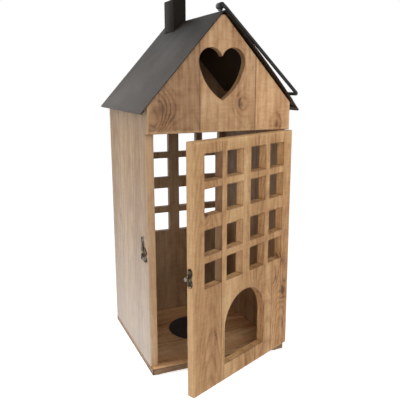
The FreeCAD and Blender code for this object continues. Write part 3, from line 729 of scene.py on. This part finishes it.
class LANTERN_OT_handle(Piece):
    """Folding rod handle and its two ridge tubes."""
    bl_idname = "lantern.handle"
    bl_label = "Handle"

    def make(self, wood, metal, stage):
        iron = black_iron("handle_iron", metal.iron, metal.iron_rough)
        paint(iron, "handle_bail")
        for node, side in (("handle_tube_front", 1), ("handle_tube_rear", -1)):
            low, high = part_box(node)
            mouth = low.y if side > 0 else high.y
            rings = turned(TUBE_PROFILE, (MIDDLE_X, mouth, TUBE_HEIGHT), (0, side, 0), wobble=0.03)
            seat = [Vector((MIDDLE_X, mouth + side * (0.0015 + 0.0009 * k), TUBE_WELD_HEIGHT)) for k in range(11)]
            parts = [loft(rings, loop=True), loft(bead(seat, 0.0017, 5.0 * side))]
            solid(node.replace("handle", "ridge"), *joined(parts), iron, "house", "black_metal", [node])


class LANTERN_OT_hinges(Piece):
    """Two butt hinges with pins and screws."""
    bl_idname = "lantern.hinges"
    bl_label = "Hinges"

    def make(self, wood, metal, stage):
        paint(black_iron("hinge_iron", metal.iron, 0.5), "hinge_frame_leaf_lower", "hinge_frame_leaf_upper",
              "hinge_door_leaf_lower", "hinge_door_leaf_upper", "hinge_pins", "hinge_frame_screws",
              "hinge_door_screws")


def lobed_plate(name, node, material, body, turn=0.0, tall=1.0):
    """Latch plate with two round lobes and a waist, in the outline of the plate that it replaces."""
    upright = Matrix.Rotation(-turn, 3, "Z")
    spots = [upright @ v.co for v in bpy.data.objects[node].data.vertices]
    low = Vector([min(p[k] for p in spots) for k in range(3)])
    high = Vector([max(p[k] for p in spots) for k in range(3)])
    middle, half = (low + high) / 2, (high - low) / 2
    half.z *= tall
    sides = []
    for k in range(49):
        t = math.sin(math.pi * (k / 48 - 0.5))
        lobe = math.sqrt(max(0.0, 1 - ((abs(t) - 0.5) / 0.5) ** 2))
        sides.append((t, max(lobe, 0.66 if abs(t) < 0.5 else 0.0)))
    outline = [(w, t) for t, w in sides] + [(-w, t) for t, w in sides[-2:0:-1]]
    rings = []
    for depth, inset in ((high.x, 0.0), (low.x + 0.0003, 0.0), (low.x, 0.0003)):
        rings.append([upright.transposed() @ Vector((depth, middle.y + w * (half.y - inset),
                                                     middle.z + t * (half.z - inset))) for w, t in outline])
    solid(name, *loft(rings), material, body, "antique_brass", [node])


class LANTERN_OT_latch(Piece):
    """Hook latch of aged brass with the door's strike plate and dull steel knob."""
    bl_idname = "lantern.latch"
    bl_label = "Latch"

    def make(self, wood, metal, stage):
        brass = aged_brass("latch_brass")
        paint(brass, "latch_plate_screws", "latch_rivet", "latch_hook", "door_strike_screws")
        lobed_plate("latch_wall_lobes", "latch_wall_plate", brass, "house", tall=0.9)
        lobed_plate("latch_strike_lobes", "door_strike_plate", brass, "door", DOOR_TURN)
        paint(plated_steel("knob_steel", (0.19, 0.17, 0.14)), "door_knob")


# Candle dish, in metres: (height, distance in from the radius) round its rim, then (height, radius) of its floor.
DISH_RADIUS = 0.0445
DISH_RIM = ((0.0, 0.003), (0.0007, 0.0012), (0.0021, 0.0), (0.0029, 0.0002), (0.0029, 0.0012), (0.0018, 0.0019),
            (0.0012, 0.0035))
DISH_FLOOR = ((0.00115, 0.020), (0.0012, 0.006), (0.0010, 0.0036))


class LANTERN_OT_inside(Piece):
    """Candle plate with its screw, and the base screws and feet below."""
    bl_idname = "lantern.inside"
    bl_label = "Candle plate and feet"

    def make(self, wood, metal, stage):
        dark = painted_sheet("plate_paint", (0.021, 0.021, 0.024), (0.030, 0.030, 0.033), 0.5, 0.4)
        low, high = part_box("candle_plate")
        foot = Vector(((low.x + high.x) / 2, (low.y + high.y) / 2, low.z))
        profile = [(0.0, 0.0035), *((height, DISH_RADIUS - inset) for height, inset in DISH_RIM), *DISH_FLOOR]
        solid("candle_dish", *loft(turned(profile, foot, (0, 0, 1), 72, 0.004), loop=True), dark, "house",
              "black_metal", ["candle_plate"])
        paint(black_iron("plate_screw_iron", metal.iron, 0.5), "candle_plate_screw")
        paint(plated_steel("base_screw_steel", (0.45, 0.43, 0.40)), "base_screws")
        paint(felt("foot_felt"), "feet")


# ---------------------------------------------------------------- stage
def softbox(name, power, size, place, aim, spread=180):
    light = bpy.data.lights.new(name, "AREA")
    light.energy = power
    light.shape = "RECTANGLE"
    light.size, light.size_y = size
    light.spread = math.radians(spread)
    holder = bpy.data.objects.new(name, light)
    holder.location = place
    holder.rotation_euler = (Vector(aim) - Vector(place)).to_track_quat("-Z", "Y").to_euler()
    holder.visible_camera = False
    bpy.context.scene.collection.objects.link(holder)


def seen_rays(tree):
    """1 where the ray comes from the camera, a mirror or through glass."""
    path = tree.nodes.new("ShaderNodeLightPath")
    value = path.outputs["Is Camera Ray"]
    for name in ("Is Glossy Ray", "Is Transmission Ray"):
        most = tree.nodes.new("ShaderNodeMath")
        most.operation = "MAXIMUM"
        tree.links.new(value, most.inputs[0])
        tree.links.new(path.outputs[name], most.inputs[1])
        value = most.outputs[0]
    return value


def pale_floor(name, shade, glow):
    """Matt pale floor that reads white to the camera; the shadow is faint, and lost from some sides."""
    make = Recipe(name)
    place = make.place()
    cloud = make.noise(place, (400.0,) * 3, 2.0)
    colour = make.blend(cloud, [shade] * 3, [shade * 0.985] * 3)
    matt = make.put("ShaderNodeBsdfDiffuse", Color=colour)
    shine = make.put("ShaderNodeEmission", Color=(1.0, 1.0, 1.0))
    make.feed(shine.inputs["Strength"], make.math("MULTIPLY", seen_rays(make.tree), glow))
    both = make.put("ShaderNodeAddShader")
    make.tree.links.new(matt.outputs[0], both.inputs[0])
    make.tree.links.new(shine.outputs[0], both.inputs[1])
    make.feed(make.out.inputs["Surface"], both.outputs[0])
    return make.material


YAW, PITCH, ROLL = 0.39169, 0.21624, -0.002957     # how the camera is turned, in radians
FLOOR_SHADE = 0.80
FLOOR_GLOW = 0.72
FLOOR_REACH = 14.0     # metres


class LANTERN_OT_stage(Piece):
    """Camera, pale floor, white surroundings and softboxes."""
    bl_idname = "lantern.stage"
    bl_label = "Camera and studio"

    def make(self, wood, metal, stage):
        ahead = Vector((math.sin(YAW) * math.cos(PITCH), math.cos(YAW) * math.cos(PITCH), -math.sin(PITCH)))
        right = Vector((math.cos(YAW), -math.sin(YAW), 0.0))
        up = right.cross(ahead)
        level_right = right * math.cos(ROLL) + up * math.sin(ROLL)
        level_up = up * math.cos(ROLL) - right * math.sin(ROLL)
        turn = Matrix((level_right, level_up, -ahead)).transposed()
        camera = bpy.data.cameras.new("studio_camera")
        camera.lens = stage.lens
        camera.sensor_width = 36.0
        camera.clip_start = 0.01
        camera.clip_end = 100.0
        holder = bpy.data.objects.new("studio_camera", camera)
        holder.matrix_world = Matrix.Translation(stage.eye) @ turn.to_4x4()
        bpy.context.scene.collection.objects.link(holder)
        bpy.context.scene.camera = holder
        bpy.context.scene.view_settings.view_transform = "Standard"

        mesh = bpy.data.meshes.new("studio_floor")
        corners = [(x * FLOOR_REACH, y * FLOOR_REACH, 0) for x, y in ((-1, -1), (1, -1), (1, 1), (-1, 1))]
        mesh.from_pydata(corners, [], [(0, 1, 2, 3)])
        floor = bpy.data.objects.new("studio_floor", mesh)
        floor.data.materials.append(pale_floor("floor_paper", FLOOR_SHADE, FLOOR_GLOW))
        bpy.context.scene.collection.objects.link(floor)

        world = bpy.data.worlds.new("studio_air")
        bpy.context.scene.world = world
        world.use_nodes = True
        tree = world.node_tree
        back = tree.nodes["Background"]
        back.inputs["Color"].default_value = (1.0, 1.0, 1.0, 1.0)
        level = tree.nodes.new("ShaderNodeMapRange")
        tree.links.new(seen_rays(tree), level.inputs["Value"])
        level.inputs["To Min"].default_value = stage.sky
        height = tree.nodes.new("ShaderNodeSeparateXYZ")
        tree.links.new(tree.nodes.new("ShaderNodeTexCoord").outputs["Generated"], height.inputs[0])
        ceiling = tree.nodes.new("ShaderNodeMapRange")
        tree.links.new(height.outputs[2], ceiling.inputs["Value"])
        for name, value in (("From Min", 0.25), ("From Max", 0.75), ("To Min", 1.0), ("To Max", 0.45)):
            ceiling.inputs[name].default_value = value
        tree.links.new(ceiling.outputs[0], level.inputs["To Max"])
        tree.links.new(level.outputs[0], back.inputs["Strength"])

        softbox("front_softbox", stage.key, (1.5, 1.5), (-0.35, -2.2, 1.25), (0, 0, 0.25))
        softbox("side_softbox", stage.side, (1.4, 1.6), (-2.1, 0.1, 1.1), (0, 0, 0.22))
        softbox("back_softbox", stage.back, (1.4, 1.2), (-0.7, 2.1, 0.9), (0, 0, 0.3))
        softbox("floor_wash", stage.wash, (0.4, 0.5), (-0.47, 0.02, 0.62), (-0.42, 0.02, 0.0), 64)


PIECES = (LANTERN_OT_stage, LANTERN_OT_gable, LANTERN_OT_door, LANTERN_OT_walls, LANTERN_OT_back, LANTERN_OT_base,
          LANTERN_OT_roof, LANTERN_OT_handle, LANTERN_OT_hinges, LANTERN_OT_latch, LANTERN_OT_inside)
GROUPS = (("lantern_timber", LanternTimber), ("lantern_metal", LanternMetal), ("lantern_stage", LanternStage))


class LANTERN_PT_panel(bpy.types.Panel):
    """Lists the lantern's settings and pieces."""
    bl_label = "House lantern"
    bl_idname = "LANTERN_PT_panel"
    bl_space_type = "VIEW_3D"
    bl_region_type = "UI"
    bl_category = "Lantern"

    def draw(self, context):
        for attribute, group in GROUPS:
            box = self.layout.box()
            for name in group.__annotations__:
                box.prop(getattr(context.scene, attribute), name)
        for piece in PIECES:
            self.layout.operator(piece.bl_idname)


def register():
    for attribute, group in GROUPS:
        bpy.utils.register_class(group)
        setattr(bpy.types.Scene, attribute, bpy.props.PointerProperty(type=group))
    for piece in PIECES:
        bpy.utils.register_class(piece)
    bpy.utils.register_class(LANTERN_PT_panel)


def unregister():
    bpy.utils.unregister_class(LANTERN_PT_panel)
    for piece in reversed(PIECES):
        bpy.utils.unregister_class(piece)
    for attribute, group in reversed(GROUPS):
        delattr(bpy.types.Scene, attribute)
        bpy.utils.unregister_class(group)


def main():
    register()
    for piece in PIECES:
        family, name = piece.bl_idname.split(".")
        if getattr(getattr(bpy.ops, family), name)() != {"FINISHED"}:
            raise RuntimeError(piece.bl_label + " was not finished")


if __name__ == "__main__":
    main()
